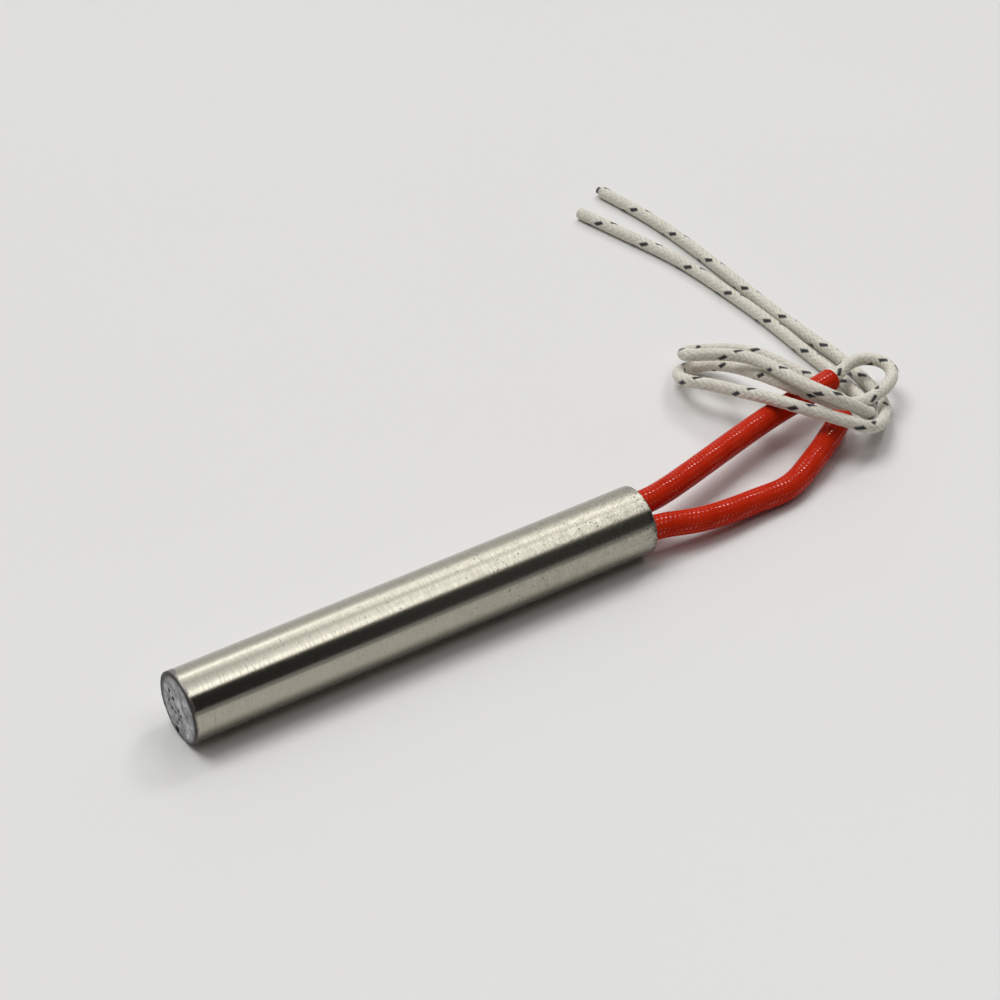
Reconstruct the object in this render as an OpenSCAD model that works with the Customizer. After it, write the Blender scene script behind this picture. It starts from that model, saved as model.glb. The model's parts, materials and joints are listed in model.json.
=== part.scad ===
// Swaged cartridge heater with two sleeved, glass-braided leads.
// Lies on its side along X: closed end at -X, leads at +X, floor at z = 0.
// The origin is on the floor, under the middle of the sheath.

/* [Sheath] */
// Outside diameter of the sheath
sheath_d = 14; // [13:0.1:16]
// Overall length from the weld face to the open end
sheath_len = 100; // [80:1:160]
// Wall of the sheath tube
sheath_wall = 0.9; // [0.7:0.05:1.1]
// Break of the rim at the open end
rim_break = 0.25; // [0.1:0.05:0.4]
// Broken edge of the tube at its closed end
tip_break = 0.2; // [0.1:0.05:0.25]
// Depth of the open mouth in front of the cement
mouth_depth = 3; // [2:0.5:6]

/* [Closed end] */
// Thickness of the weld cap outside the tube, rounded over at its edge
cap_t = 0.2; // [0.1:0.05:0.6]
// Step from the ground sheath down to the weld cap
cap_step = 0.3; // [0.3:0.05:0.7]
// Length of the plug that fits in the tube
plug_len = 4; // [2:0.5:8]
// Thickness of the mica disc on the plug
disc_t = 2; // [1:0.5:4]

/* [Heating core] */
// Thickness of the packed magnesia between the coil and the sheath
fill_t = 0.9; // [0.5:0.05:1]
// Number of ceramic cores in a row
core_count = 4; // [3:1:8]
// Diameter of the resistance wire
coil_wire = 0.6; // [0.4:0.05:0.7]
// Pitch of the resistance coil
coil_pitch = 2.8; // [2:0.1:4]
// Diameter of the two terminal pins
pin_d = 1.4; // [1:0.1:1.6]
// Thickness of the ceramic bushing that holds the pins
bushing_t = 5; // [3:0.5:8]

/* [Terminals] */
// Distance between the two pins, and between the two leads
lead_pitch = 5.6; // [5.4:0.1:5.8]
// Roll of the pair of leads about the sheath axis, in degrees
lead_roll = 24; // [0:1:45]
// Length of the cement behind the mouth
seal_len = 13; // [12:0.5:18]
// Length of a crimp
crimp_len = 5; // [4:0.5:6]
// Wall of a crimp
crimp_wall = 0.5; // [0.3:0.05:0.6]
// Diameter of the stranded conductor
conductor_d = 1.3; // [0.8:0.1:1.4]
// Insulated lead held in the cement
lead_grip = 7; // [5:0.5:7]

/* [Leads] */
// Outside diameter of a braided lead
lead_d = 2.7; // [2.2:0.1:2.9]
// Outside diameter of a red sleeve
sleeve_d = 5; // [4.8:0.1:5.1]
// Wall of a red sleeve
sleeve_wall = 0.5; // [0.3:0.05:0.6]

/* [Hidden] */
$fn = 64;
fit_gap = 0.05;
axis_z = sheath_d / 2;
closed_x = -sheath_len / 2;
open_x = sheath_len / 2;
bore_d = sheath_d - 2 * sheath_wall;
insert_d = bore_d - 2 * fit_gap;
tube_x = closed_x + cap_t;
disc_x = tube_x + plug_len;
core_x = disc_x + disc_t;
seal_x = open_x - mouth_depth;
cement_x = seal_x - seal_len;
bushing_x = cement_x - bushing_t;
core_len = (bushing_x - core_x) / core_count;
lead_x = seal_x - lead_grip;
crimp_x = cement_x + 0.5;
butt_x = crimp_x + crimp_len / 2;
crimp_bore = max(pin_d, conductor_d) + 2 * fit_gap;
crimp_d = crimp_bore + 2 * crimp_wall;
pin_hole = pin_d + 2 * fit_gap;
root_y = lead_pitch / 2 * cos(lead_roll);
root_z = lead_pitch / 2 * sin(lead_roll);

// Coil inside the magnesia, and the cores that fill it
coil_steps = 12;
coil_od = insert_d - 2 * fill_t;
coil_r = coil_od / 2 - fit_gap - coil_wire / 2;
core_d = 2 * (coil_r * cos(180 / coil_steps) - coil_wire / 2 - fit_gap);
tail_in = coil_wire;
coil_run = bushing_x - core_x - 2 * tail_in;
coil_turns = round(coil_run / coil_pitch) + 0.5;
coil_sides = 5;

// Heights of the tie: lead on the floor, lead over the sleeves
floor_z = lead_d / 2 + 0.05;
over_z = floor_z + lead_d + sleeve_d + 0.7;
lead_sides = 8;
sleeve_sides = 24;
rings = 2;

// Spline spans that the sleeves cover
sleeve_spans_a = 7;
sleeve_spans_b = 11;

// Each lead's control points: x from the open end, y, height
function rooted(side) = [
    [lead_x - open_x, side * root_y, axis_z + side * root_z],
    [seal_x - open_x, side * root_y, axis_z + side * root_z],
    [2 * seal_x - lead_x - open_x, side * root_y, axis_z + side * root_z],
];
tail_a = [
    [9.5, 4, 7.3], [23, 8, 6.9], [40, 13.2, 6.3], [48, 14.8, 6.3], [63.5, 17.3, 6.4],
    [66.4, 19.4, 6.4], [71, 20.2, 6.4], [74.4, 17.8, 6.4], [75, 13.3, 6.4], [71, 9.1, 6.9],
    [65.1, 6.5, 7.5], [59.4, 5.3, 8.4], [54.3, 5.6, over_z - 0.2], [51.8, 9.4, over_z + 0.5],
    [49.4, 13.1, over_z + 1.1], [48.4, 21.1, over_z - 0.2], [49.3, 33.6, 4.7], [47.8, 39.4, 2.6],
    [45.1, 41.3, 1.8], [42.6, 41.7, 2], [40.2, 40.9, 2.7], [38.1, 38.8, 3.9], [36.8, 36.1, 5],
    [36.7, 33.4, 5.9], [37.8, 30.6, 6.7], [39.9, 26.3, 7.5], [41.5, 20.4, 8.9],
    [42.9, 15, over_z + 0.6], [45.1, 9.6, over_z + 1.1], [48.6, 5.1, over_z + 0.4],
    [52.6, 0.6, over_z - 0.5], [55.8, -1.4, 7.6], [60.1, -0.5, 5.7], [66.6, 4.8, 3.3],
    [70.6, 11, 1.6], [72.1, 18.3, floor_z], [73.1, 27.7, floor_z], [71.5, 46.2, floor_z],
    [72.5, 72.3, floor_z], [72.1, 94.4, floor_z], [68.6, 112.3, floor_z],
];
tail_b = [
    [10.3, -4.3, 4.8], [19.5, -4.4, 3.7], [27.1, -3.7, 3], [32.7, -4, 2.7], [37.5, -2.9, 2.9],
    [41.4, -0.9, 3.2], [46.6, 1.5, 3.7], [54, 6, 3.8], [57.7, 8.7, 3.4], [61.9, 12.3, 2.5],
    [63.7, 16.7, 1.6], [63.7, 21.4, floor_z], [62.6, 26.7, floor_z], [60.9, 33.5, floor_z],
    [59.6, 38.8, floor_z], [54.5, 43.9, floor_z], [50.4, 45.8, floor_z], [47.2, 46.4, 2.1],
    [43.7, 44.5, 4.1], [40.7, 41, 6.8], [41, 37.5, 8.4], [43.4, 35.1, over_z - 0.5],
    [47, 30.8, over_z + 0.4], [49, 25.2, over_z + 1.5], [48.3, 17.3, over_z + 3.4],
    [48.7, 11.3, over_z + 4.1], [50.4, 5.8, over_z + 4.2], [53.3, 3.3, over_z + 2.5],
    [56.7, 1.8, over_z + 0.1], [60.5, 3.1, 6.3], [64.2, 7, 3.9], [67.2, 14.9, 1.5],
    [68.2, 21.5, floor_z], [68, 33.2, floor_z], [68.8, 46.8, floor_z], [68, 61.2, floor_z],
    [67, 76.5, floor_z], [64.3, 87, floor_z], [59.3, 106.2, floor_z],
];
route_a = concat(rooted(1), tail_a);
route_b = concat(rooted(-1), tail_b);

// Cubic B-spline through a route, with the end points kept
function knot(r, i) =
    i < 0 ? 2 * r[0] - r[1] :
    i > len(r) - 1 ? 2 * r[len(r) - 1] - r[len(r) - 2] :
    r[i];
function spline(r, i, t) = (
    pow(1 - t, 3) * knot(r, i - 1)
    + (3 * pow(t, 3) - 6 * pow(t, 2) + 4) * knot(r, i)
    + (-3 * pow(t, 3) + 3 * pow(t, 2) + 3 * t + 1) * knot(r, i + 1)
    + pow(t, 3) * knot(r, i + 2)
) / 6;
function slope(r, i, t) =
    -pow(1 - t, 2) * knot(r, i - 1)
    + (3 * pow(t, 2) - 4 * t) * knot(r, i)
    + (-3 * pow(t, 2) + 2 * t + 1) * knot(r, i + 1)
    + pow(t, 2) * knot(r, i + 2);

// Ring of points square to a route, at span i and share t
function unit(v) = v / norm(v);
function side_of(d) = unit(cross([0, 0, 1], d));
function ring(r, i, t, radius, sides) =
    let (
        c = spline(r, i, t) + [open_x, 0, 0],
        d = unit(slope(r, i, t)),
        s = side_of(d),
        u = cross(d, s)
    )
    [for (k = [0 : sides - 1]) c + radius * (cos(360 * k / sides) * s + sin(360 * k / sides) * u)];

// Faces of a tube wall between n rings of m points each, from point index at
function wall(n, m, at, flip) = [
    for (j = [0 : n - 2]) for (k = [0 : m - 1])
    let (
        a = at + j * m + k,
        b = at + j * m + (k + 1) % m,
        q = [a, b, b + m, a + m]
    )
    flip ? [q[3], q[2], q[1], q[0]] : q
];

// Flat face between an outer and an inner ring
function annulus(m, outer, inner, flip) = [
    for (k = [0 : m - 1])
    let (
        l = (k + 1) % m,
        q = [outer + k, inner + k, inner + l, outer + l]
    )
    flip ? [q[3], q[2], q[1], q[0]] : q
];

// Solid tube along spans first to last of a route
module swept_rod(route, first, last, d, sides) {
    stations = [for (i = [first * rings : last * rings]) i / rings];
    points = [
        for (s = stations)
        each ring(route, min(floor(s), last - 1), s - min(floor(s), last - 1), d / 2, sides)
    ];
    n = len(stations);
    caps = [
        [for (k = [0 : sides - 1]) sides - 1 - k],
        [for (k = [0 : sides - 1]) (n - 1) * sides + k],
    ];
    faces = concat(wall(n, sides, 0, false), caps);
    polyhedron(points, [for (f = faces) [for (k = [len(f) - 1 : -1 : 0]) f[k]]], convexity = 10);
}

// Hollow tube along spans first to last of a route
module swept_sleeve(route, first, last, d, bore, sides) {
    stations = [for (i = [first * rings : last * rings]) i / rings];
    outer = [
        for (s = stations)
        each ring(route, min(floor(s), last - 1), s - min(floor(s), last - 1), d / 2, sides)
    ];
    inner = [
        for (s = stations)
        each ring(route, min(floor(s), last - 1), s - min(floor(s), last - 1), bore / 2, sides)
    ];
    n = len(stations);
    m = n * sides;
    faces = concat(
        wall(n, sides, 0, false),
        wall(n, sides, m, true),
        annulus(sides, 0, m, false),
        annulus(sides, (n - 1) * sides, m + (n - 1) * sides, true)
    );
    polyhedron(
        concat(outer, inner),
        [for (f = faces) [for (k = [len(f) - 1 : -1 : 0]) f[k]]],
        convexity = 10
    );
}

// Turns a child that stands on Z so that it points along +X on the heater's axis
module on_axis(x) {
    translate([x, 0, axis_z])
        rotate([0, 90, 0])
            children();
}

// The same, on the line of one lead
module on_lead(side, x) {
    translate([x, side * root_y, axis_z + side * root_z])
        rotate([0, 90, 0])
            children();
}

// Two holes for the pins or leads, from x over a length
module lead_holes(x, length, d) {
    for (side = [-1, 1])
        on_lead(side, x)
            cylinder(h = length, d = d);
}

// Ground stainless tube with a broken rim at the open end
module sheath() {
    color("silver")
        on_axis(tube_x)
            rotate_extrude()
                polygon([
                    [bore_d / 2, 0],
                    [sheath_d / 2 - tip_break, 0],
                    [sheath_d / 2, tip_break],
                    [sheath_d / 2, open_x - tube_x - rim_break],
                    [sheath_d / 2 - rim_break, open_x - tube_x],
                    [bore_d / 2, open_x - tube_x],
                ]);
}

// Plug with its fused, round-edged weld cap
module end_plug() {
    cap_r = sheath_d / 2 - cap_step;
    color("gray")
        on_axis(closed_x)
            rotate_extrude()
                union() {
                    square([cap_r - cap_t, cap_t]);
                    intersection() {
                        translate([cap_r - cap_t, cap_t])
                            circle(r = cap_t);
                        square([cap_r, cap_t]);
                    }
                    translate([0, cap_t])
                        square([insert_d / 2, plug_len]);
                }
}

// Mica disc between the plug and the coil
module end_disc() {
    color("tan")
        on_axis(disc_x)
            cylinder(h = disc_t, d = insert_d);
}

// One ceramic core with two pin holes
module core(i) {
    color("white")
        difference() {
            on_axis(core_x + i * core_len)
                cylinder(h = core_len, d = core_d);
            lead_holes(core_x + i * core_len - 1, core_len + 2, pin_hole);
            if (i == 0)
                tail_slot(1, core_x - 1, tail_in + coil_wire / 2 + fit_gap + 1);
            if (i == core_count - 1)
                tail_slot(-1, bushing_x - tail_in - coil_wire / 2 - fit_gap, tail_in + coil_wire + 1);
        }
}

// Slot from a pin hole to the outside of a core, for a coil tail
module tail_slot(side, x, length) {
    width = coil_wire + 2 * fit_gap;
    translate([x, 0, axis_z])
        rotate([side > 0 ? lead_roll : lead_roll + 180, 0, 0])
            translate([0, lead_pitch / 2, -width / 2])
                cube([length, core_d, width]);
}

module core_1() {
    core(0);
}

module core_2() {
    core(1);
}

module core_3() {
    core(2);
}

// Fourth core, with any further ones a longer heater has
module core_4() {
    for (i = [3 : max(3, core_count - 1)])
        if (i < core_count)
            core(i);
}

// Resistance wire wound on the cores, each tail on its own pin
module heating_coil() {
    n = ceil(coil_turns * coil_steps);
    lift = atan(coil_run / coil_turns / (2 * PI * coil_r));
    points = [
        for (j = [0 : n])
        let (
            a = lead_roll + 360 * coil_turns * j / n,
            c = [core_x + tail_in + coil_run * j / n, coil_r * cos(a), axis_z + coil_r * sin(a)],
            out = [0, cos(a), sin(a)],
            along = [cos(lift), sin(lift) * sin(a), -sin(lift) * cos(a)]
        )
        for (k = [0 : coil_sides - 1])
        c + coil_wire / 2 * (cos(360 * k / coil_sides) * out + sin(360 * k / coil_sides) * along)
    ];
    caps = [
        [for (k = [0 : coil_sides - 1]) coil_sides - 1 - k],
        [for (k = [0 : coil_sides - 1]) n * coil_sides + k],
    ];
    tail = coil_r - lead_pitch / 2 - pin_d / 2 - fit_gap;
    color("dimgray") {
        polyhedron(points, concat(wall(n + 1, coil_sides, 0, false), caps), convexity = 20);
        for (side = [0, 1])
            translate([side == 0 ? core_x + tail_in : bushing_x - tail_in, 0, axis_z])
                rotate([lead_roll + 180 * side, 0, 0])
                    translate([0, coil_r - tail, 0])
                        rotate([-90, 0, 0])
                            cylinder(h = tail, d = coil_wire, $fn = 16);
    }
}

// Packed magnesia between the coil and the sheath
module magnesia_fill() {
    color("ivory")
        on_axis(core_x)
            difference() {
                cylinder(h = bushing_x - core_x, d = insert_d);
                translate([0, 0, -1])
                    cylinder(h = bushing_x - core_x + 2, d = coil_od);
            }
}

// Terminal pin from the first core's end to its crimp
module pin(side) {
    color("lightgray")
        on_lead(side, core_x + fit_gap)
            cylinder(h = butt_x - core_x - 2 * fit_gap, d = pin_d, $fn = 32);
}

module pin_a() {
    pin(1);
}

module pin_b() {
    pin(-1);
}

// Ceramic disc that holds both pins apart
module pin_bushing() {
    color("linen")
        difference() {
            on_axis(bushing_x)
                cylinder(h = bushing_t, d = insert_d);
            lead_holes(bushing_x - 1, bushing_t + 2, pin_hole);
        }
}

// Crimp over a pin and its conductor
module crimp(side) {
    color("goldenrod")
        on_lead(side, crimp_x)
            difference() {
                cylinder(h = crimp_len, d = crimp_d, $fn = 32);
                translate([0, 0, -1])
                    cylinder(h = crimp_len + 2, d = crimp_bore, $fn = 32);
            }
}

module crimp_a() {
    crimp(1);
}

module crimp_b() {
    crimp(-1);
}

// Bared conductor between the crimp and the lead
module conductor(side) {
    color("peru")
        on_lead(side, butt_x)
            cylinder(h = lead_x - butt_x, d = conductor_d, $fn = 32);
}

module conductor_a() {
    conductor(1);
}

module conductor_b() {
    conductor(-1);
}

// Cement round the crimps and the ends of the leads
module cement_seal() {
    color("gainsboro")
        difference() {
            on_axis(cement_x)
                cylinder(h = seal_len, d = insert_d);
            lead_holes(cement_x - 1, crimp_x - cement_x + 1 + fit_gap, pin_hole);
            lead_holes(crimp_x - fit_gap, crimp_len + 2 * fit_gap, crimp_d + 2 * fit_gap);
            lead_holes(
                crimp_x + crimp_len,
                lead_x - crimp_x - crimp_len + fit_gap,
                conductor_d + 2 * fit_gap
            );
            lead_holes(lead_x - fit_gap, seal_x - lead_x + 1, lead_d + 2 * fit_gap);
        }
}

// Braided lead from the crimp to its cut end
module lead_a() {
    color("whitesmoke")
        swept_rod(route_a, 0, len(route_a) - 1, lead_d, lead_sides);
}

module lead_b() {
    color("whitesmoke")
        swept_rod(route_b, 0, len(route_b) - 1, lead_d, lead_sides);
}

// Red sleeve over a lead, from the cement out
module sleeve_a() {
    color("firebrick")
        swept_sleeve(route_a, 1, sleeve_spans_a, sleeve_d, sleeve_d - 2 * sleeve_wall, sleeve_sides);
}

module sleeve_b() {
    color("firebrick")
        swept_sleeve(route_b, 1, sleeve_spans_b, sleeve_d, sleeve_d - 2 * sleeve_wall, sleeve_sides);
}

sheath();
end_plug();
end_disc();
core_1();
core_2();
core_3();
core_4();
heating_coil();
magnesia_fill();
pin_a();
pin_b();
pin_bushing();
crimp_a();
crimp_b();
conductor_a();
conductor_b();
cement_seal();
lead_a();
lead_b();
sleeve_a();
sleeve_b();
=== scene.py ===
"""Looks of a cartridge heater: ground sheath, weld cap, red sleeves and braided leads."""
import json
import math

import bpy
import numpy as np
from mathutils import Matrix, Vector, noise


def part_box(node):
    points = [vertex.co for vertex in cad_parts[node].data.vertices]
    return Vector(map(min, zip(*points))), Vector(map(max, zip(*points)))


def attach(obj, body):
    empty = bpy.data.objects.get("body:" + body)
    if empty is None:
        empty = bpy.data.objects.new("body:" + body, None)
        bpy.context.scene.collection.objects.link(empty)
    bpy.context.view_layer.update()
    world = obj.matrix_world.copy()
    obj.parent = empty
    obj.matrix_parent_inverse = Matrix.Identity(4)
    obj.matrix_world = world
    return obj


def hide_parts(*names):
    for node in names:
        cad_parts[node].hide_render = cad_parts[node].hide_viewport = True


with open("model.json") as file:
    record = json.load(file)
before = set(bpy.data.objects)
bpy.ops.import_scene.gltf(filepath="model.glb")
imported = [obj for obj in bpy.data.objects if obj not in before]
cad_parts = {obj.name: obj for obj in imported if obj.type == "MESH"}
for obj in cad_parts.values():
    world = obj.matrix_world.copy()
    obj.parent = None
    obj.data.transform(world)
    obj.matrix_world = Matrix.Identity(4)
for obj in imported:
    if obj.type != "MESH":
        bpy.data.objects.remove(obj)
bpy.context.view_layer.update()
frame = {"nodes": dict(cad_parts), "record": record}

MM = 0.001

# Sizes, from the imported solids, in millimetres
SHEATH_LOW, SHEATH_HIGH = (np.array(c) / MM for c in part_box("sheath"))
CLOSED_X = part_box("end_plug")[0][0] / MM
TUBE_X, OPEN_X = SHEATH_LOW[0], SHEATH_HIGH[0]
SHEATH_R = (SHEATH_HIGH[2] - SHEATH_LOW[2]) / 2
AXIS_Z = (SHEATH_HIGH[2] + SHEATH_LOW[2]) / 2
SEAL_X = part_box("cement_seal")[1][0] / MM
LEAD_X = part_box("lead_a")[0][0] / MM
PLUG_END_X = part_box("end_plug")[1][0] / MM
PLUG_R = (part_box("end_disc")[1][2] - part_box("end_disc")[0][2]) / 2 / MM
BORE_R = PLUG_R + 0.05

# Sizes, as in the part's source, in millimetres
LEAD_D = 2.7
LEAD_PITCH = 5.6
LEAD_ROLL = math.radians(24)
SLEEVE_D = 5.0
SLEEVE_WALL = 0.5
SLEEVE_ROUND = 0.1
RIM_BREAK = 0.25
BORE_BREAK = 0.1
TIP_BREAK = 0.2
CAP_STEP = 0.3

# Mesh fineness: sides round, rings, and millimetres between rings
SHEATH_SIDES, SHEATH_RINGS, BORE_RINGS = 192, 40, 12
EDGE_RING = 0.04  # ring beside each broken edge, so that the shading runs straight up to it
CAP_SIDES, CAP_RINGS, CAP_EDGE_RINGS = 180, 62, 10
SLEEVE_SIDES, SLEEVE_STEP = 120, 0.2
LEAD_SIDES, LEAD_STEP = 56, 0.24
SPLINE_STEPS = 40

# Braids: carriers each way, lay and height of the yarns
SLEEVE_CARRIERS, SLEEVE_LAY, SLEEVE_RELIEF = 16, 14.0, 0.06
LEAD_CARRIERS, LEAD_LAY, LEAD_RELIEF, LEAD_SINK = 8, 13.5, 0.14, 0.12

# Glossy beads on the sleeves' skin: millimetres apart, and slanted rows round the sleeve
BEAD_PITCH, BEAD_SLANT = 1.0, 6

# How each lead's yarns are turned about it, in radians and millimetres along it
TURN = {"a": 0.4, "b": 1.2}
TWIST = 0.006
TAIL_ROLL, TAIL_FROM, TAIL_TO = {"a": 0.785, "b": 0.0}, 215, 240
YARN_SHIFT = {"a": 0.0, "b": -1.9}
CORE_SHOWS, CORE_R, CORE_DARK = {"a": 1.0, "b": 0.0}, 0.8, 0.85

# Leads' control points, as in the part's source: x from the open end, y, height
FLOOR_Z = LEAD_D / 2 + 0.05
OVER_Z = FLOOR_Z + LEAD_D + SLEEVE_D + 0.7
TAIL_A = [
    (9.5, 4, 7.3), (23, 8, 6.9), (40, 13.2, 6.3), (48, 14.8, 6.3), (63.5, 17.3, 6.4),
    (66.4, 19.4, 6.4), (71, 20.2, 6.4), (74.4, 17.8, 6.4), (75, 13.3, 6.4), (71, 9.1, 6.9),
    (65.1, 6.5, 7.5), (59.4, 5.3, 8.4), (54.3, 5.6, OVER_Z - 0.2), (51.8, 9.4, OVER_Z + 0.5),
    (49.4, 13.1, OVER_Z + 1.1), (48.4, 21.1, OVER_Z - 0.2), (49.3, 33.6, 4.7), (47.8, 39.4, 2.6),
    (45.1, 41.3, 1.8), (42.6, 41.7, 2), (40.2, 40.9, 2.7), (38.1, 38.8, 3.9), (36.8, 36.1, 5),
    (36.7, 33.4, 5.9), (37.8, 30.6, 6.7), (39.9, 26.3, 7.5), (41.5, 20.4, 8.9),
    (42.9, 15, OVER_Z + 0.6), (45.1, 9.6, OVER_Z + 1.1), (48.6, 5.1, OVER_Z + 0.4),
    (52.6, 0.6, OVER_Z - 0.5), (55.8, -1.4, 7.6), (60.1, -0.5, 5.7), (66.6, 4.8, 3.3),
    (70.6, 11, 1.6), (72.1, 18.3, FLOOR_Z), (73.1, 27.7, FLOOR_Z), (71.5, 46.2, FLOOR_Z),
    (72.5, 72.3, FLOOR_Z), (72.1, 94.4, FLOOR_Z), (68.6, 112.3, FLOOR_Z),
]
TAIL_B = [
    (10.3, -4.3, 4.8), (19.5, -4.4, 3.7), (27.1, -3.7, 3), (32.7, -4, 2.7), (37.5, -2.9, 2.9),
    (41.4, -0.9, 3.2), (46.6, 1.5, 3.7), (54, 6, 3.8), (57.7, 8.7, 3.4), (61.9, 12.3, 2.5),
    (63.7, 16.7, 1.6), (63.7, 21.4, FLOOR_Z), (62.6, 26.7, FLOOR_Z), (60.9, 33.5, FLOOR_Z),
    (59.6, 38.8, FLOOR_Z), (54.5, 43.9, FLOOR_Z), (50.4, 45.8, FLOOR_Z), (47.2, 46.4, 2.1),
    (43.7, 44.5, 4.1), (40.7, 41, 6.8), (41, 37.5, 8.4), (43.4, 35.1, OVER_Z - 0.5),
    (47, 30.8, OVER_Z + 0.4), (49, 25.2, OVER_Z + 1.5), (48.3, 17.3, OVER_Z + 3.4),
    (48.7, 11.3, OVER_Z + 4.1), (50.4, 5.8, OVER_Z + 4.2), (53.3, 3.3, OVER_Z + 2.5),
    (56.7, 1.8, OVER_Z + 0.1), (60.5, 3.1, 6.3), (64.2, 7, 3.9), (67.2, 14.9, 1.5),
    (68.2, 21.5, FLOOR_Z), (68, 33.2, FLOOR_Z), (68.8, 46.8, FLOOR_Z), (68, 61.2, FLOOR_Z),
    (67, 76.5, FLOOR_Z), (64.3, 87, FLOOR_Z), (59.3, 106.2, FLOOR_Z),
]
SLEEVE_SPANS = {"a": 7, "b": 11}

# Weld face: pores (across, up, size), ripples (scale, depth), and the dark groove round its edge,
# with painted shade on the rounded edge
PORES = (
    (1.6, 1.1, 0.6), (3.1, 2.0, 0.5), (3.6, -0.6, 0.45), (2.9, 0.1, 0.3), (2.4, -1.6, 0.45),
    (2.9, -1.1, 0.3), (1.1, -1.7, 0.45), (-0.3, -0.5, 0.42), (-1.0, -1.2, 0.45),
    (-0.2, -2.4, 0.35), (0.7, -3.9, 0.45), (0.2, -3.0, 0.28), (1.0, -5.7, 0.8),
    (-3.4, 2.6, 0.25), (-2.2, -3.6, 0.25), (0.9, 3.6, 0.25),
)
# depth of the pores, and how strongly the pores are painted dark as shade
PORE_DEPTH, PORE_SHADE_GAIN = 0.3, 4.0
RIPPLES = ((0.45, 0.07), (1.5, 0.05), (4.0, 0.025))
FACE_SINK = 0.07
# width of the dark groove and of the painted shade on the weld's rounded edge, and how much wider
# the painted shade grows on the +y side, where the edge is in shade
GROOVE_SHADE_WIDTH, SHADE_LEAN = 0.9, 0.14
BITE_DEPTH, BITE_SCALE, BITE_PLANE = 0.16, 0.7, 3.0

# Wear on the sheath: where it starts and ends, in millimetres
USED = (-30.0, 50.0)
MOUTH = (46.5, 49.7)
GRIME_ALONG, GRIME_NEAR = (48.6, 49.7), (-5.8, -6.6)
SCRIBE_X, SCRIBE_EDGES, SCRIBE_TOP = -46.0, (0.03, 0.09), (9.8, 10.8)
BURNT = (TUBE_X + 0.02, TUBE_X + 0.4)
TINT, TINT_FAR, TINT_REACH, TINT_WANDER = (TUBE_X + 0.2, TUBE_X + 0.6), (-1.0, 5.0), 1.2, 0.4
RIM = (OPEN_X - 0.3, OPEN_X - 0.22)

# Colours
STEEL_LIGHT, STEEL_DARK = (0.46, 0.44, 0.37), (0.35, 0.33, 0.265)
STEEL_STAIN, STEEL_GRAIN, STEEL_PIT = (0.28, 0.265, 0.21), (0.2, 0.185, 0.14), (0.05, 0.045, 0.035)
STEEL_TINT, STEEL_BURNT, STEEL_RIM = (0.2, 0.185, 0.183), (0.06, 0.054, 0.05), (0.2, 0.19, 0.16)
WELD_DARK, WELD_GREY, WELD_FROST = (0.12, 0.12, 0.12), (0.33, 0.33, 0.34), (0.68, 0.68, 0.69)
# groove colour, also used as painted shade on the weld's rounded edge; pore colour, painted as the
# shade in the pores
WELD_GROOVE_SHADE, WELD_PORE_SHADE = (0.02, 0.018, 0.016), (0.012, 0.012, 0.012)
RED_DEEP, RED_LIGHT, RED_DUST = (0.44, 0.017, 0.004), (0.54, 0.026, 0.007), (0.75, 0.5, 0.45)
YARN_DEEP, YARN_LIGHT, YARN_TRACER = (0.67, 0.64, 0.55), (0.75, 0.72, 0.63), (0.018, 0.018, 0.022)
# fibre tone, and the painted shade in the crevices where the yarns dive
YARN_FIBRE, YARN_CREVICE_SHADE = (0.48, 0.45, 0.375), (0.36, 0.33, 0.27)
PAPER_DARK, PAPER_LIGHT = (0.735, 0.728, 0.715), (0.75, 0.745, 0.735)

# Camera, fitted to the photograph
CAMERA_AT = (-199.045, -334.869, 333.585)
CAMERA_TO = (36.108, 27.246, 0.0)
CAMERA_LENS = 98.43
CAMERA_SENSOR = 36.0

# Lamps: level, angle across in degrees, and the way they shine
GLINT_LEVEL, GLINT_ANGLE, GLINT_AIM = 0.45, 12, (-0.63, -0.30, -0.70)
LAMP_LEVEL, LAMP_ANGLE, LAMP_AIM = 1.54, 34, (0.2, -0.3, -1.0)

# Room, by the angle round the heater's axis from the far horizon: walls all along it, and two
# strip lights at the distance along it where the camera sees them in the sheath
ROOM_LEVEL = 1.0
WALLS = (
    (0, 0.35), (60, 0.35), (117, 0.33), (120, (0.22, 0.18, 0.10)), (123, 0.022), (164, 0.022),
    (170, 0.28), (180, 0.36),
)
STRIPS_AT_TIP = (
    (0, 0.34), (22, 0.40), (31, 0.67), (39, 1.26), (44, 2.18), (50, 2.18), (55, 1.26), (61, 0.80),
    (68, 0.49), (76, 0.47), (87, 0.57), (98, 1.21), (106, 2.18), (114, 2.18), (118, 0.86),
    (121, 0.00), (180, 0.00),
)
STRIPS_AT_MOUTH = (
    (0, 0.34), (30, 0.44), (40, 0.67), (47, 1.06), (55, 1.79), (60, 2.32), (66, 1.79), (74, 1.00),
    (80, 1.52), (86, 2.18), (92, 1.85), (98, 1.52), (109, 1.39), (116, 1.13), (121, 0.30),
    (126, 0.08), (131, 0.05), (162, 0.05), (168, 0.00), (180, 0.00),
)
TIP_SEEN, MOUTH_SEEN, STRIPS_FULL, STRIPS_END = 0.31, 0.46, 0.10, 0.19

FLOOR_SIZE = 6


# Routes

def route(side, tail):
    """Control points of one lead, from inside the cement to its cut end."""
    y = side * LEAD_PITCH / 2 * math.cos(LEAD_ROLL)
    z = AXIS_Z + side * LEAD_PITCH / 2 * math.sin(LEAD_ROLL)
    root = [(x - OPEN_X, y, z) for x in (LEAD_X, SEAL_X, 2 * SEAL_X - LEAD_X)]
    points = np.array(root + tail, float)
    points[:, 0] += OPEN_X
    first, last = 2 * points[0] - points[1], 2 * points[-1] - points[-2]
    return np.vstack([first, points, last])


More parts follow.
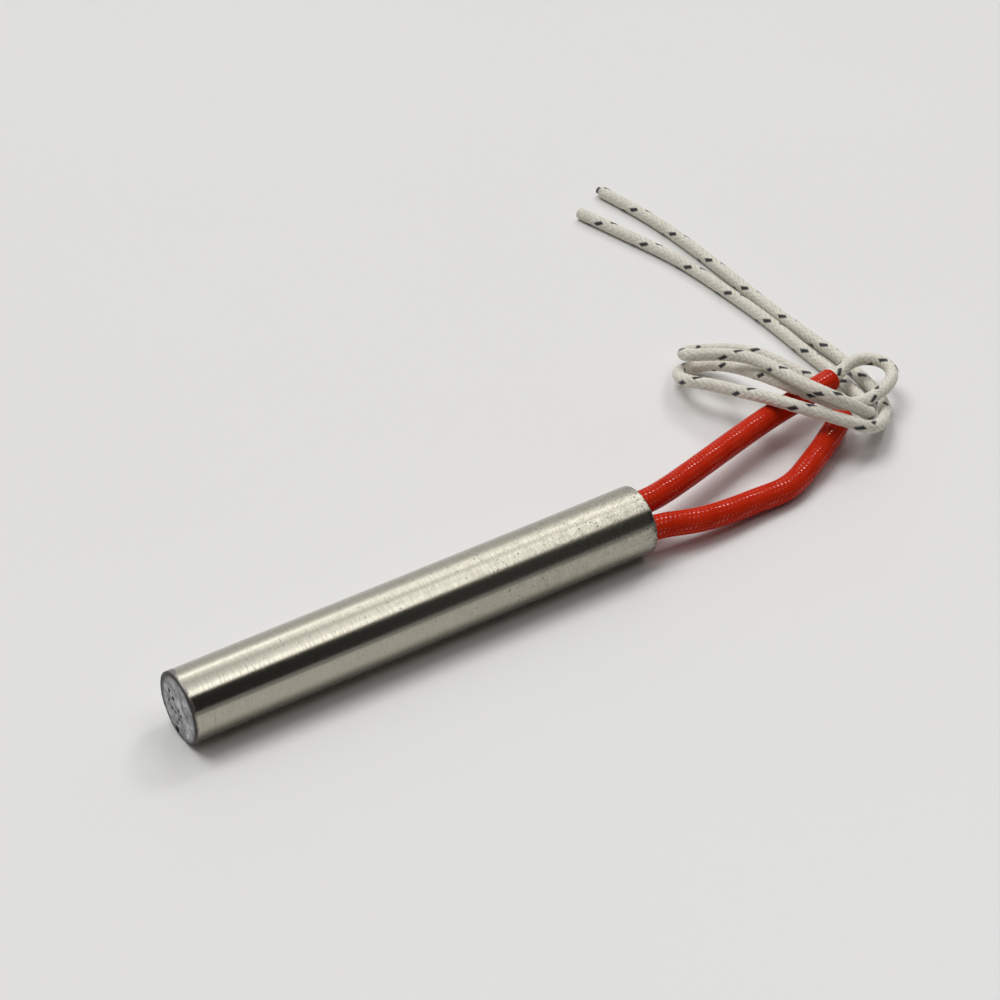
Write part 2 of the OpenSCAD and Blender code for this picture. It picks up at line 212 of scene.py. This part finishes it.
def spline(points, first, last):
    """Points of the cubic B-spline from span first to span last."""
    out = []
    for i in range(first, last):
        a, b, c, d = points[i:i + 4]
        for t in np.arange(SPLINE_STEPS) / SPLINE_STEPS:
            out.append(((1 - t) ** 3 * a + (3 * t ** 3 - 6 * t ** 2 + 4) * b
                        + (-3 * t ** 3 + 3 * t ** 2 + 3 * t + 1) * c + t ** 3 * d) / 6)
    a, b, c = points[last:last + 3]
    out.append((a + 4 * b + c) / 6)
    return np.array(out)


def stations(line, step):
    """Evenly spaced centres along a line, with a pair of untwisted normals at each."""
    pieces = np.linalg.norm(np.diff(line, axis=0), axis=1)
    length = np.concatenate([[0], np.cumsum(pieces)])
    count = int(round(length[-1] / step)) + 1
    at = np.linspace(0, length[-1], count)
    centre = np.stack([np.interp(at, length, line[:, k]) for k in range(3)], 1)
    tangent = np.gradient(centre, at, axis=0)
    tangent /= np.linalg.norm(tangent, axis=1)[:, None]
    side = np.zeros_like(centre)
    s = np.cross((0, 0, 1), tangent[0])
    for i, t in enumerate(tangent):
        s = s - t * np.dot(s, t)
        s = s / np.linalg.norm(s)
        side[i] = s
    return at, centre, side, np.cross(tangent, side)


# Meshes

def make_object(name, vertices, faces):
    """Smooth mesh object from points in millimetres, riding on the root."""
    mesh = bpy.data.meshes.new(name)
    mesh.from_pydata([tuple(v) for v in np.asarray(vertices) * MM], [], [tuple(f) for f in faces])
    mesh.polygons.foreach_set("use_smooth", [True] * len(mesh.polygons))
    mesh.update()
    obj = bpy.data.objects.new(name, mesh)
    bpy.context.scene.collection.objects.link(obj)
    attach(obj, "root")
    return obj


def round_angles(sides):
    """Angles of the points of one ring."""
    return 2 * np.pi * np.arange(sides) / sides


def tube_points(centre, side, up, angle, radius):
    """Rings of points about a line, by ring and by angle."""
    spoke = (np.cos(angle)[None, :, None] * side[:, None, :]
             + np.sin(angle)[None, :, None] * up[:, None, :])
    return (centre[:, None, :] + radius[..., None] * spoke).reshape(-1, 3)


def ring_faces(rings, sides, start=0, flip=False):
    """Quads between rings of points, each ring closed."""
    j, k = np.meshgrid(np.arange(rings - 1), np.arange(sides), indexing="ij")
    a = start + j * sides + k
    b = start + j * sides + (k + 1) % sides
    quads = np.stack([a, b, b + sides, a + sides], -1).reshape(-1, 4)
    return quads[:, ::-1] if flip else quads


def add_layer(obj, name, values):
    """Per-vertex colour layer that a material can read."""
    layer = obj.data.color_attributes.new(name=name, type="FLOAT_COLOR", domain="POINT")
    layer.data.foreach_set("color", np.asarray(values, dtype=np.float32).ravel())


def lathe(name, profile, sides):
    """Solid turned about the heater's axis from (x, radius) pairs; radius 0 closes it."""
    angle = round_angles(sides)
    vertices, faces, rows = [], [], []
    for x, r in profile:
        if r == 0:
            rows.append([len(vertices)])
            vertices.append((x, 0, AXIS_Z))
        else:
            rows.append(list(range(len(vertices), len(vertices) + sides)))
            vertices.extend(zip([x] * sides, r * np.cos(angle), AXIS_Z + r * np.sin(angle)))
    for p, q in zip(rows, rows[1:]):
        for k in range(sides):
            n = (k + 1) % sides
            corners = [p[k % len(p)], q[k % len(q)], q[n % len(q)], p[n % len(p)]]
            face = list(dict.fromkeys(corners))
            if len(face) > 2:
                faces.append(face)
    return make_object(name, vertices, faces)


def braid(angle, along, carriers, lay):
    """Over-two, under-two braid: height, which way the top yarn runs, and its number."""
    a = carriers * (angle / (2 * np.pi) - along / lay)
    b = carriers * (angle / (2 * np.pi) + along / lay)
    i, j = np.floor(a), np.floor(b)
    first_on_top = np.mod(i + j, 4) < 2
    across = np.where(first_on_top, a - i, b - j)
    float_start = np.where(first_on_top, np.mod(b + i, 4) / 2, np.mod(a + j - 2, 4) / 2)
    crown = np.sqrt(np.clip(1 - (2 * across - 1) ** 2, 0, 1))
    arch = np.sin(np.pi * np.clip(float_start, 0, 1)) ** 0.5
    height = crown * (0.35 + 0.65 * arch)
    yarn = np.mod(np.where(first_on_top, i, j), carriers)
    return height, first_on_top, yarn


# Materials

class Shader:
    """Small helper that adds and links the nodes of a material or a world."""

    def __init__(self, owner):
        owner.use_nodes = True
        self.owner = owner
        self.nodes = owner.node_tree.nodes
        self.links = owner.node_tree.links
        self.surface = self.nodes.get("Principled BSDF")

    def add(self, kind, inputs=None, **settings):
        node = self.nodes.new(kind)
        for key, value in settings.items():
            setattr(node, key, value)
        for key, value in (inputs or {}).items():
            self.put(node.inputs[key], value)
        return node

    def put(self, socket, value):
        if isinstance(value, bpy.types.NodeSocket):
            self.links.new(value, socket)
        else:
            socket.default_value = value

    def set(self, **inputs):
        for key, value in inputs.items():
            self.put(self.surface.inputs[key.replace("_", " ")], value)

    def position(self):
        return self.add("ShaderNodeTexCoord").outputs["Object"]

    def along(self, axis):
        """Object coordinate along one axis, in metres."""
        return self.add("ShaderNodeSeparateXYZ", {"Vector": self.position()}).outputs[axis]

    def noise(self, scale, detail=4.0, roughness=0.55, stretch=(1, 1, 1)):
        mapping = self.add("ShaderNodeMapping", {"Vector": self.position(), "Scale": stretch})
        node = self.add("ShaderNodeTexNoise", {
            "Vector": mapping.outputs["Vector"], "Scale": scale, "Detail": detail,
            "Roughness": roughness})
        return node.outputs["Fac"]

    def dots(self, scale, size, rarity):
        """Scattered round specks: 1 inside a speck, 0 elsewhere."""
        cell = self.add("ShaderNodeTexVoronoi", {"Vector": self.position(), "Scale": scale})
        chosen = self.math("GREATER_THAN", self.channel(cell.outputs["Color"], "Red"), rarity)
        return self.times(chosen, self.remap(cell.outputs["Distance"], size * 0.5, size, 1.0, 0.0))

    def layer(self, name):
        """Colour layer that add_layer made."""
        return self.add("ShaderNodeVertexColor", layer_name=name).outputs["Color"]

    def channel(self, colour, name):
        return self.add("ShaderNodeSeparateColor", {"Color": colour}).outputs[name]

    def ramp(self, value, *stops):
        """Colour or level by value, from (position, colour or level) stops."""
        node = self.add("ShaderNodeValToRGB", {"Fac": value})
        elements = node.color_ramp.elements
        while len(elements) < len(stops):
            elements.new(0.5)
        for element, (position, colour) in zip(elements, stops):
            rgb = colour if isinstance(colour, tuple) else (colour, colour, colour)
            element.position = position
            element.color = (*rgb, 1)
        return node.outputs["Color"]

    def mix(self, factor, a, b, blend="MIX"):
        node = self.add("ShaderNodeMix", data_type="RGBA", blend_type=blend)
        self.put(node.inputs[0], factor)
        self.put(node.inputs[6], (*a, 1) if isinstance(a, tuple) else a)
        self.put(node.inputs[7], (*b, 1) if isinstance(b, tuple) else b)
        return node.outputs[2]

    def math(self, operation, a, b=0.0):
        node = self.add("ShaderNodeMath", operation=operation)
        self.put(node.inputs[0], a)
        self.put(node.inputs[1], b)
        return node.outputs[0]

    def times(self, a, b):
        return self.math("MULTIPLY", a, b)

    def plus(self, a, b):
        return self.math("ADD", a, b)

    def minus(self, a, b):
        return self.math("SUBTRACT", a, b)

    def most(self, a, *others):
        for b in others:
            a = self.math("MAXIMUM", a, b)
        return a

    def remap(self, value, low, high, to_low, to_high):
        node = self.add("ShaderNodeMapRange", {
            "Value": value, "From Min": low, "From Max": high,
            "To Min": to_low, "To Max": to_high})
        return node.outputs["Result"]

    def span(self, value, edges, to_low=0.0, to_high=1.0):
        """Level that changes between two places given in millimetres."""
        return self.remap(value, edges[0] * MM, edges[1] * MM, to_low, to_high)

    def bump(self, height, distance):
        node = self.add("ShaderNodeBump", {"Height": height, "Distance": distance})
        return node.outputs["Normal"]


def sheath_material():
    """Ground stainless: rings round the tube, pits, stains at the mouth, heat marks at the tip."""
    m = Shader(bpy.data.materials.new("ground_steel"))
    x, y, z = (m.along(axis) for axis in "XYZ")
    streak = m.noise(1.0, 4, 0.65, (6500, 420, 420))
    wave = m.noise(1.0, 4, 0.65, (3200, 700, 700))
    used = m.span(x, USED)

    # Pits, stain, grain, a scribed line and grime on the rim
    stain = m.times(m.ramp(m.noise(520, 6, 0.7), (0.46, 0.0), (0.68, 1.0)), used)
    pits = m.most(
        m.times(m.dots(1100, 0.21, 0.62), m.remap(used, 0.0, 0.7, 0.3, 1.0)),
        m.times(m.dots(2300, 0.3, 0.5), m.remap(used, 0.35, 1.0, 0.0, 0.8)),
        m.times(m.dots(1500, 0.42, 0.5), m.span(x, MOUTH)))
    off_scribe = m.math("ABSOLUTE", m.minus(x, SCRIBE_X * MM))
    scribe = m.times(m.span(off_scribe, SCRIBE_EDGES, 0.35, 0.0), m.span(z, SCRIBE_TOP, 1.0, 0.0))
    grime = m.times(m.span(y, GRIME_NEAR), m.span(x, GRIME_ALONG))
    grime = m.times(grime, m.ramp(m.noise(1000, 5, 0.7), (0.42, 0.0), (0.54, 1.0)))
    grain = m.ramp(m.noise(2700, 4, 0.75), (0.5, 0.0), (0.66, 1.0))
    grain = m.times(grain, m.remap(used, 0.3, 1.0, 0.0, 0.55))

    # Heat marks at the closed end, which reach further on the far side, and the dull rim
    burnt = m.span(x, BURNT, 0.85, 0.0)
    wander = m.remap(m.noise(420), 0.3, 0.7, -TINT_WANDER * MM, TINT_WANDER * MM)
    reach = m.plus(m.span(y, TINT_FAR, 0.0, TINT_REACH * MM), wander)
    tint = m.span(m.minus(x, reach), TINT, 0.75, 0.0)
    rim = m.span(x, RIM)

    tone = m.mix(m.remap(streak, 0.4, 0.7, 0.0, 0.6), STEEL_LIGHT, STEEL_DARK)
    tone = m.mix(m.times(stain, 0.5), tone, STEEL_STAIN)
    tone = m.mix(grain, tone, STEEL_GRAIN)
    tone = m.mix(m.most(m.times(pits, 0.85), grime, scribe), tone, STEEL_PIT)
    tone = m.mix(tint, tone, STEEL_TINT)
    tone = m.mix(burnt, tone, STEEL_BURNT)
    tone = m.mix(m.times(rim, 0.6), tone, STEEL_RIM)
    rough = m.plus(m.remap(streak, 0.35, 0.65, 0.07, 0.22), m.times(used, 0.02))
    worn = m.most(m.times(stain, 0.08), m.times(m.most(burnt, tint), 0.4), m.times(rim, 0.5))
    height = m.plus(m.times(wave, m.remap(used, 0.0, 0.6, 0.65, 1.0)), m.times(streak, 0.25))
    m.set(Base_Color=tone, Metallic=1.0, Roughness=m.plus(rough, worn),
          Normal=m.bump(m.minus(height, pits), 0.01 * MM))
    return m.owner


def weld_material():
    """Fused grey weld face with a pale frosting, pores painted dark as shade, and a dark groove
    round its edge that also paints the shade on the rounded edge.
    """
    m = Shader(bpy.data.materials.new("weld_face"))
    layer = m.layer("weld")
    pore_and_shade, groove_and_shade = m.channel(layer, "Red"), m.channel(layer, "Green")
    grain = m.noise(1500, 6, 0.7)
    frost = m.noise(420, 6, 0.65)
    tone = m.ramp(frost, (0.32, WELD_DARK), (0.5, WELD_GREY), (0.68, WELD_FROST))
    # painted shade: the groove colour darkens the rounded edge, more on the +y side
    tone = m.mix(m.times(groove_and_shade, 0.92), tone, WELD_GROOVE_SHADE)
    # painted shade: the pores are painted near black for the shade in their hollows
    tone = m.mix(pore_and_shade, tone, WELD_PORE_SHADE)
    m.set(Base_Color=tone, Metallic=0.4, Roughness=m.remap(grain, 0.3, 0.7, 0.35, 0.65),
          Normal=m.bump(grain, 0.05 * MM))
    return m.owner


def sleeve_material():
    """Red silicone skin over a glass braid, glossy on the beads, with a little dust."""
    m = Shader(bpy.data.materials.new("red_silicone"))
    tone = m.ramp(m.noise(160), (0.3, RED_DEEP), (0.7, RED_LIGHT))
    dust = m.times(m.dots(900, 0.1, 0.86), 0.7)
    fine = m.noise(3000, 3)
    crest = m.channel(m.layer("skin"), "Red")
    m.set(Base_Color=m.mix(dust, tone, RED_DUST),
          Roughness=m.remap(fine, 0.3, 0.7, 0.13, 0.19), Normal=m.bump(fine, 0.008 * MM),
          Specular_IOR_Level=m.remap(crest, 0.55, 0.85, 0.02, 1.0))
    return m.owner


def braid_material():
    """Off-white glass yarn with one black tracer yarn, with painted shade where the yarns dive."""
    m = Shader(bpy.data.materials.new("glass_braid"))
    layer = m.layer("braid")
    tracer, height, tint = (m.channel(layer, name) for name in ("Red", "Green", "Blue"))
    fibre = m.noise(5200, 4, 0.65)
    yarn = m.mix(tint, YARN_DEEP, YARN_LIGHT)
    yarn = m.mix(m.remap(fibre, 0.35, 0.7, 0.0, 0.25), yarn, YARN_FIBRE)
    # painted shade: darker where the yarn height is low, in the crevices between yarns
    yarn = m.mix(m.remap(height, 0.0, 0.65, 0.85, 0.0), yarn, YARN_CREVICE_SHADE)
    m.set(Base_Color=m.mix(tracer, yarn, YARN_TRACER),
          Roughness=m.remap(fibre, 0.3, 0.7, 0.5, 0.75), Normal=m.bump(fibre, 0.03 * MM),
          Sheen_Weight=0.2, Sheen_Roughness=0.4)
    return m.owner


def plain_material(slot):
    """Speckled finish of one record slot, for the pieces inside."""
    m = Shader(bpy.data.materials.new(slot["slot"]))
    base = np.array(slot["base_color"][:3])
    dark, light = tuple(base * 0.72), tuple(np.minimum(base * 1.08, 1))
    speck = m.noise(1400, 5, 0.65)
    metal = slot["class"] in ("brushed_steel", "brass")
    rough = (0.25, 0.45) if metal else (0.6, 0.9)
    m.set(Base_Color=m.ramp(speck, (0.3, dark), (0.7, light)), Metallic=1.0 if metal else 0.0,
          Roughness=m.remap(speck, 0.3, 0.7, *rough), Normal=m.bump(speck, 0.04 * MM))
    return m.owner


def floor_material():
    """Pale matt paper, a little uneven."""
    m = Shader(bpy.data.materials.new("pale_floor"))
    m.set(Base_Color=m.ramp(m.noise(3.0, 3), (0.3, PAPER_DARK), (0.7, PAPER_LIGHT)),
          Roughness=0.6, Specular_IOR_Level=0.25)
    return m.owner


# Pieces

def paint(obj, material):
    obj.data.materials.clear()
    obj.data.materials.append(material)


def make_sheath():
    """Tube with its broken rim and its broken edge at the closed end."""
    rim = [(OPEN_X - RIM_BREAK * (1 - math.cos(t)), SHEATH_R - RIM_BREAK * (1 - math.sin(t)))
           for t in np.radians([60, 30, 0])]
    tip = [(TUBE_X + TIP_BREAK * (1 - math.cos(t)), SHEATH_R - TIP_BREAK * (1 - math.sin(t)))
           for t in np.radians([0, 22, 45, 68, 90])]
    start, end = TUBE_X + TIP_BREAK, OPEN_X - RIM_BREAK
    stops = [*np.linspace(start + EDGE_RING, end - EDGE_RING, SHEATH_RINGS), end]
    profile = tip + [(x, SHEATH_R) for x in stops] + rim + [(OPEN_X - BORE_BREAK, BORE_R)]
    profile += [(x, BORE_R) for x in np.linspace(SEAL_X, TUBE_X, BORE_RINGS)] + [tip[0]]
    obj = lathe("sheath_tube", profile, SHEATH_SIDES)
    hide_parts("sheath")
    paint(obj, sheath_material())


def make_weld_cap():
    """Weld cap with an uneven, round edge and a rippled, pored face, on its plug."""
    cap_r, cap_t = SHEATH_R - CAP_STEP, TUBE_X - CLOSED_X
    face = [(CLOSED_X, r) for r in np.linspace(0, cap_r - cap_t, CAP_RINGS)]
    edge = [(TUBE_X - cap_t * math.cos(t), cap_r - cap_t + cap_t * math.sin(t))
            for t in np.radians(np.linspace(9, 90, CAP_EDGE_RINGS))]
    plug = [(TUBE_X, PLUG_R), (PLUG_END_X, PLUG_R), (PLUG_END_X, 0)]
    obj = lathe("weld_cap", face + edge + plug, CAP_SIDES)
    layer = []
    for v in obj.data.vertices:
        p = v.co / MM
        y, z = p.y, p.z - AXIS_Z
        spread = math.hypot(y, z)
        # groove mask: the dark joint plus a band of painted shade on the rounded edge, wider on
        # the +y side
        groove_and_shade = spread - cap_r + GROOVE_SHADE_WIDTH + SHADE_LEAN * max(0.0, y)
        groove_and_shade = min(1.0, max(0.0, groove_and_shade))
        # pore mask: sinks the face, and paints the pores dark as shade
        pore_and_shade = max(max(0.0, 1 - math.hypot(y - py, z - pz) / size) for py, pz, size in PORES)
        layer.append((min(1.0, pore_and_shade * PORE_SHADE_GAIN), groove_and_shade, 0, 1))
        if p.x > TUBE_X - 0.02:
            continue
        swell = sum(noise.noise(p * scale) * depth for scale, depth in RIPPLES)
        sink = max(0.0, FACE_SINK + swell) + PORE_DEPTH * pore_and_shade ** 0.6
        share = min(1.0, (TUBE_X - p.x) / cap_t)
        ragged = max(0.0, noise.noise(Vector((y, z, BITE_PLANE)) * BITE_SCALE))
        scale = 1 - BITE_DEPTH * ragged * groove_and_shade / max(spread, 1e-6)
        v.co = Vector((p.x + sink * share, y * scale, AXIS_Z + z * scale)) * MM
    add_layer(obj, "weld", layer)
    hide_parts("end_plug")
    paint(obj, weld_material())


def make_sleeve(letter, points, material):
    """Hollow sleeve whose skin shows the braid under it."""
    at, centre, side, up = stations(spline(points, 1, SLEEVE_SPANS[letter]), SLEEVE_STEP)
    angle = round_angles(SLEEVE_SIDES)
    height, _, _ = braid(angle[None, :], at[:, None], SLEEVE_CARRIERS, SLEEVE_LAY)
    from_end = np.minimum(at, at[-1] - at)
    into_round = np.clip(SLEEVE_ROUND - from_end, 0, SLEEVE_ROUND)
    rounded = SLEEVE_ROUND - np.sqrt(np.clip(SLEEVE_ROUND ** 2 - into_round ** 2, 0, None))
    outer_r = SLEEVE_D / 2 - SLEEVE_RELIEF + SLEEVE_RELIEF * height - rounded[:, None]
    inner_r = np.full_like(outer_r, SLEEVE_D / 2 - SLEEVE_WALL)
    walls = [tube_points(centre, side, up, angle, radius) for radius in (outer_r, inner_r)]

    count, total = len(at), len(at) * SLEEVE_SIDES
    k = np.arange(SLEEVE_SIDES)
    n = (k + 1) % SLEEVE_SIDES
    last = total - SLEEVE_SIDES
    caps = [np.stack([k, total + k, total + n, n], 1),
            np.stack([last + n, total + last + n, total + last + k, last + k], 1)]
    faces = np.vstack([ring_faces(count, SLEEVE_SIDES),
                       ring_faces(count, SLEEVE_SIDES, total, True), *caps])
    obj = make_object(f"sleeve_{letter}_skin", np.vstack(walls), faces)

    rows = at[:, None] / BEAD_PITCH + BEAD_SLANT * angle[None, :] / (2 * np.pi)
    skin = np.zeros((2 * total, 4))
    skin[:total, 0] = (height * np.cos(np.pi * rows) ** 2).ravel()
    add_layer(obj, "skin", skin)
    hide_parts(f"sleeve_{letter}")
    paint(obj, material)
    return obj


def make_lead(letter, points, material):
    """Braided lead: sixteen yarns in relief, one of them black, and its cut end."""
    line = spline(points, 0, len(points) - 3)
    at, centre, side, up = stations(line, LEAD_STEP)
    angle = round_angles(LEAD_SIDES)
    in_tail = np.clip((at - TAIL_FROM) / (TAIL_TO - TAIL_FROM), 0, 1)
    roll = TURN[letter] + TWIST * at + TAIL_ROLL[letter] * in_tail
    height, first_on_top, yarn = braid(
        angle[None, :] + roll[:, None], at[:, None] + YARN_SHIFT[letter], LEAD_CARRIERS, LEAD_LAY)
    core = (at[-1] - at < CORE_SHOWS[letter])[:, None]
    radius = np.where(core, CORE_R, LEAD_D / 2 - LEAD_SINK + LEAD_RELIEF * height)
    wall = tube_points(centre, side, up, angle, radius)

    total = len(at) * LEAD_SIDES
    last = total - LEAD_SIDES
    faces = [tuple(f) for f in ring_faces(len(at), LEAD_SIDES)]
    for k in range(LEAD_SIDES):
        n = (k + 1) % LEAD_SIDES
        faces += [(k, total, n), (last + n, total + 1, last + k)]
    obj = make_object(f"lead_{letter}_braid", np.vstack([wall, centre[:1], centre[-1:]]), faces)

    tracer = np.where(core, CORE_DARK, (yarn == 0) & ~first_on_top)
    tint = np.mod(yarn * 0.37 + np.where(first_on_top, 0.2, 0.6), 1.0)
    colour = np.stack([tracer, height, tint, np.ones_like(tint)], -1).reshape(-1, 4)
    add_layer(obj, "braid", np.vstack([colour, [[0, 0, 0, 1]] * 2]))
    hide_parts(f"lead_{letter}")
    paint(obj, material)
    return obj, line, at[-1]


# Pieces inside keep their solids
slots = {s["slot"]: s for s in frame["record"]["materials"]}
node_slot = {s["node"]: s["material_slot"] for s in frame["record"]["subparts"]}
plain = {name: plain_material(slot) for name, slot in slots.items()}
for name, obj in frame["nodes"].items():
    obj.data.materials.clear()
    obj.data.materials.append(plain[node_slot[name]])

make_sheath()
make_weld_cap()
red, glass = sleeve_material(), braid_material()
for letter, side, tail in (("a", 1, TAIL_A), ("b", -1, TAIL_B)):
    points = route(side, tail)
    sleeve = make_sleeve(letter, points, red)
    lead, line, length = make_lead(letter, points, glass)

# Floor
bpy.ops.mesh.primitive_plane_add(size=FLOOR_SIZE, location=(0, 0, 0))
floor = bpy.context.object
floor.name = "floor"
floor.data.materials.append(floor_material())


# Light

def add_sun(name, level, angle, aim):
    """Sun lamp of an angle in degrees that shines along aim."""
    sun = bpy.data.objects.new(name, bpy.data.lights.new(name, "SUN"))
    bpy.context.scene.collection.objects.link(sun)
    sun.data.energy = level
    sun.data.angle = math.radians(angle)
    sun.rotation_euler = Vector(aim).to_track_quat("-Z", "Y").to_euler()


def light_room():
    """World with the walls all round, and the strip lights where the camera sees them."""
    world = bpy.data.worlds.new("room")
    bpy.context.scene.world = world
    room = Shader(world)
    way = room.add("ShaderNodeTexCoord").outputs["Generated"]
    split = room.add("ShaderNodeSeparateXYZ", {"Vector": way}).outputs
    turn = room.math("DIVIDE", room.math("ARCTAN2", split["Z"], split["Y"]), math.pi)
    walls, tip, mouth = (room.ramp(turn, *[(angle / 180, level) for angle, level in stops])
                         for stops in (WALLS, STRIPS_AT_TIP, STRIPS_AT_MOUTH))
    strips = room.mix(room.remap(split["X"], TIP_SEEN, MOUTH_SEEN, 0.0, 1.0), tip, mouth)
    offset = room.math("ABSOLUTE", room.minus(split["X"], (TIP_SEEN + MOUTH_SEEN) / 2))
    outside = room.remap(offset, STRIPS_FULL, STRIPS_END, 0.0, 1.0)
    strips = room.mix(outside, strips, (0.0, 0.0, 0.0))
    background = room.nodes["Background"].inputs
    room.put(background["Color"], room.mix(1.0, walls, strips, "ADD"))
    room.put(background["Strength"], ROOM_LEVEL)


light_room()
add_sun("glint", GLINT_LEVEL, GLINT_ANGLE, GLINT_AIM)  # small, for the beads on the sleeves
add_sun("lamp", LAMP_LEVEL, LAMP_ANGLE, LAMP_AIM)  # broad, overhead, a little behind and left

# Camera
camera = bpy.data.objects.new("camera", bpy.data.cameras.new("camera"))
bpy.context.scene.collection.objects.link(camera)
camera.location = Vector(CAMERA_AT) * MM
aim = Vector(CAMERA_TO) - Vector(CAMERA_AT)
camera.rotation_euler = aim.to_track_quat("-Z", "Y").to_euler()
camera.data.lens = CAMERA_LENS
camera.data.sensor_width = CAMERA_SENSOR
camera.data.clip_start = 0.01
bpy.context.scene.camera = camera
bpy.context.scene.view_settings.view_transform = "Standard"
